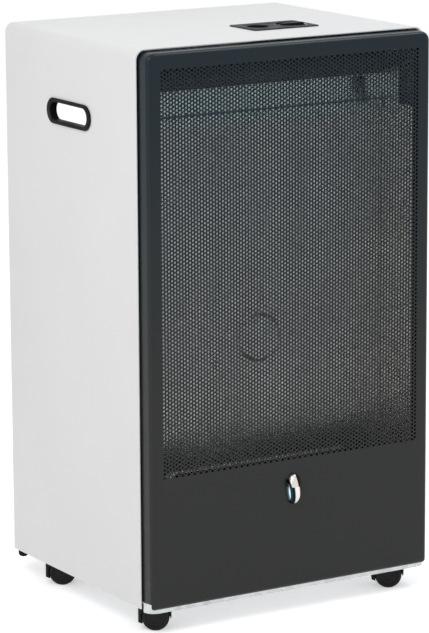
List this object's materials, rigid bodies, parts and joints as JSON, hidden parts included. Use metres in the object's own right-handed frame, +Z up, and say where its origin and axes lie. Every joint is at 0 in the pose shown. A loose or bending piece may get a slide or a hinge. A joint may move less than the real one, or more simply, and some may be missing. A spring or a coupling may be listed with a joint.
{
  "type": "portable gas cabinet heater",
  "caption": "White steel cabinet on swivel casters with a dark perforated front, a gas burner behind it, controls in the top and a rear bay for a gas cylinder.",
  "frame": {"origin": "on the floor under the middle of the heater's outer box", "axes": "+Z up; -Y towards the perforated front; +X to the right seen from the front"},
  "size_m": [0.4282, 0.408, 0.7387],
  "materials": {
    "white_paint": "powder coat, fine orange peel, half gloss",
    "slate_paint": "dark slate enamel, half gloss",
    "galvanised_steel": "galvanised sheet, dull with a faint spangle",
    "reflector_steel": "bright rolled sheet, heat tinted",
    "blued_steel": "polished strip, blued by heat",
    "black_steel": "matte black heat resisting paint",
    "axle_steel": "plain turned steel",
    "black_plastic": "moulded, fine grain",
    "wheel_plastic": "moulded nylon, half gloss",
    "chrome": "mirror plated",
    "brass": "machined",
    "copper": "drawn copper tube",
    "ceramic": "glazed insulator",
    "red_rubber": "silicone sleeve"
  },
  "bodies": {
    "cabinet": {"casing": "white_paint", "front_panel": "slate_paint", "oval_boss": "chrome", "base_plate": "galvanised_steel", "heat_shield": "galvanised_steel", "reflector_back": "reflector_steel", "reflector_left": "reflector_steel", "reflector_right": "reflector_steel", "top_deflector": "black_steel", "flue_strip": "blued_steel", "chamber_floor": "galvanised_steel", "burner_frame": "galvanised_steel", "burner_tube": "reflector_steel", "burner_bracket_left": "galvanised_steel", "burner_bracket_right": "galvanised_steel", "jet_holder": "brass", "pilot_bracket": "galvanised_steel", "pilot_burner": "brass", "spark_electrode": "ceramic", "thermocouple": "copper", "valve_bracket": "galvanised_steel", "gas_valve": "brass", "hose_tail": "brass", "burner_pipe": "copper", "pilot_pipe": "copper", "thermocouple_lead": "copper", "igniter_lead": "red_rubber", "control_insert": "black_plastic", "piezo_igniter": "black_plastic", "handle_right": "black_plastic", "handle_left": "black_plastic", "rear_foot_left": "black_plastic", "rear_foot_right": "black_plastic", "caster_front_left_mount": "galvanised_steel", "caster_front_right_mount": "galvanised_steel", "caster_rear_left_mount": "galvanised_steel", "caster_rear_right_mount": "galvanised_steel"},
    "cover": {"rear_cover": "white_paint"},
    "spindle": {"valve_spindle": "brass"},
    "knob": {"control_knob": "black_plastic"},
    "button": {"igniter_button": "black_plastic"},
    "front_left_caster": {"caster_front_left_hood": "black_plastic"},
    "front_left_wheels": {"caster_front_left_axle": "axle_steel", "caster_front_left_wheel_a": "wheel_plastic", "caster_front_left_wheel_b": "wheel_plastic"},
    "front_right_caster": {"caster_front_right_hood": "black_plastic"},
    "front_right_wheels": {"caster_front_right_axle": "axle_steel", "caster_front_right_wheel_a": "wheel_plastic", "caster_front_right_wheel_b": "wheel_plastic"},
    "rear_left_caster": {"caster_rear_left_hood": "black_plastic"},
    "rear_left_wheels": {"caster_rear_left_axle": "axle_steel", "caster_rear_left_wheel_a": "wheel_plastic", "caster_rear_left_wheel_b": "wheel_plastic"},
    "rear_right_caster": {"caster_rear_right_hood": "black_plastic"},
    "rear_right_wheels": {"caster_rear_right_axle": "axle_steel", "caster_rear_right_wheel_a": "wheel_plastic", "caster_rear_right_wheel_b": "wheel_plastic"}
  },
  "joints": [
    {"name": "cover_lift_off", "type": "slide", "parent": "cabinet", "child": "cover", "axis": [0, 1, 0], "range_m": [0, 0.25]},
    {"name": "valve_push", "type": "slide", "parent": "cabinet", "child": "spindle", "axis": [0, 0, -1], "range_m": [0, 0.004], "stiffness_N_per_m": 800, "springref_m": -0.003},
    {"name": "knob_turn", "type": "hinge", "parent": "spindle", "child": "knob", "pos_m": [0.083, -0.062, 0.73], "axis": [0, 0, 1], "range_deg": [0, 240]},
    {"name": "button_push", "type": "slide", "parent": "cabinet", "child": "button", "axis": [0, 0, -1], "range_m": [0, 0.004], "stiffness_N_per_m": 600, "springref_m": -0.003},
    {"name": "front_left_swivel", "type": "hinge", "parent": "cabinet", "child": "front_left_caster", "pos_m": [-0.177, -0.155, 0.034], "axis": [0, 0, 1], "continuous": true},
    {"name": "front_left_roll", "type": "hinge", "parent": "front_left_caster", "child": "front_left_wheels", "pos_m": [-0.18043, -0.15294, 0.0175], "axis": [0.515, 0.8572, 0], "continuous": true},
    {"name": "front_right_swivel", "type": "hinge", "parent": "cabinet", "child": "front_right_caster", "pos_m": [0.177, -0.155, 0.034], "axis": [0, 0, 1], "continuous": true},
    {"name": "front_right_roll", "type": "hinge", "parent": "front_right_caster", "child": "front_right_wheels", "pos_m": [0.17357, -0.15294, 0.0175], "axis": [0.515, 0.8572, 0], "continuous": true},
    {"name": "rear_left_swivel", "type": "hinge", "parent": "cabinet", "child": "rear_left_caster", "pos_m": [-0.177, 0.086, 0.034], "axis": [0, 0, 1], "continuous": true},
    {"name": "rear_left_roll", "type": "hinge", "parent": "rear_left_caster", "child": "rear_left_wheels", "pos_m": [-0.18043, 0.08806, 0.0175], "axis": [0.515, 0.8572, 0], "continuous": true},
    {"name": "rear_right_swivel", "type": "hinge", "parent": "cabinet", "child": "rear_right_caster", "pos_m": [0.177, 0.086, 0.034], "axis": [0, 0, 1], "continuous": true},
    {"name": "rear_right_roll", "type": "hinge", "parent": "rear_right_caster", "child": "rear_right_wheels", "pos_m": [0.17357, 0.08806, 0.0175], "axis": [0.515, 0.8572, 0], "continuous": true}
  ]
}
